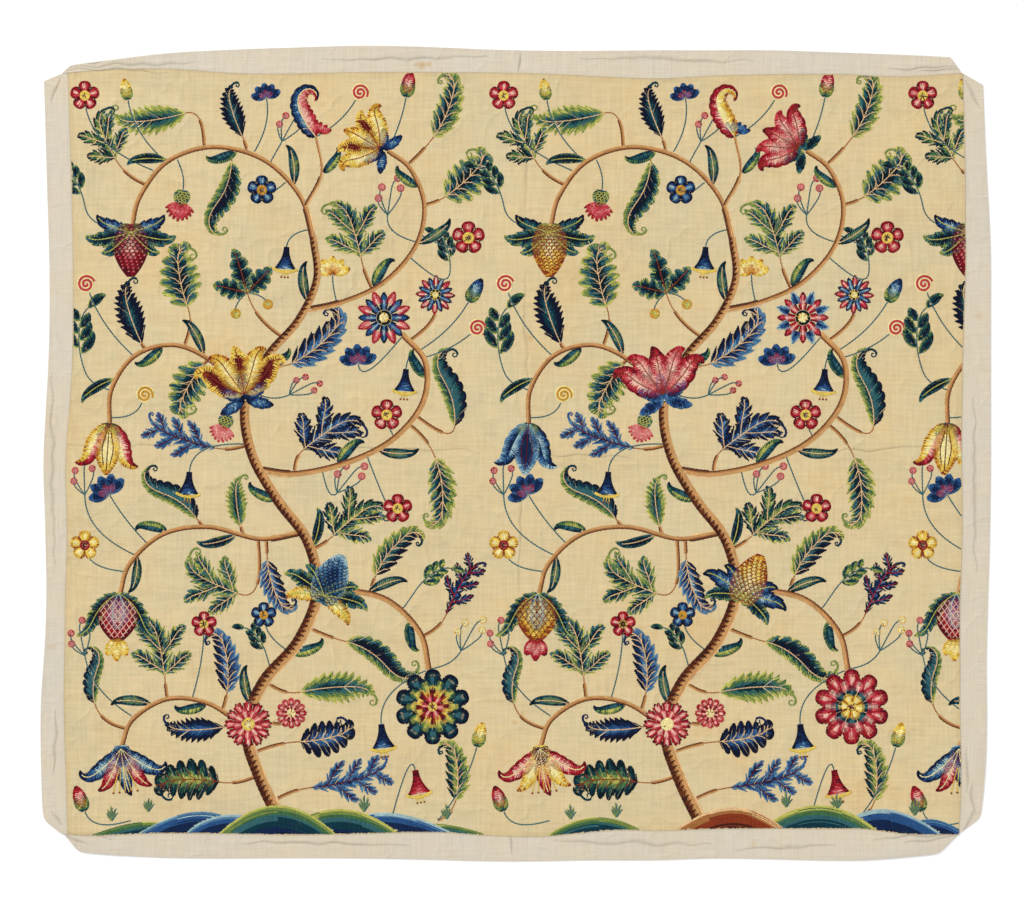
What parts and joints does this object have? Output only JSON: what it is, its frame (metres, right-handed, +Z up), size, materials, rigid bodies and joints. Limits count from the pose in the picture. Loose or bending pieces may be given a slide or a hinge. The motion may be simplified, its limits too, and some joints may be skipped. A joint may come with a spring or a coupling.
{
  "type": "crewel embroidery panel",
  "caption": "Flat embroidered cloth panel: a plain ground worked all over with coloured wool flowers, leaves and branches, edged with four sewn linen strips.",
  "frame": {"origin": "on the surface it lies on, under the middle of the outline", "axes": "+Z up from the surface through the worked face, +X to the right and +Y to the top of the panel as it is seen in the picture"},
  "size_m": [2.0712, 1.7774, 0.0054],
  "materials": {
    "ground_linen": "matt cream cotton and linen twill, aged and a little yellowed",
    "strip_linen": "matt off-white plain-weave linen"
  },
  "bodies": {
    "root": {"ground_cloth": "ground_linen", "strip_top": "strip_linen", "strip_bottom": "strip_linen", "strip_left": "strip_linen", "strip_right": "strip_linen"}
  },
  "joints": []
}
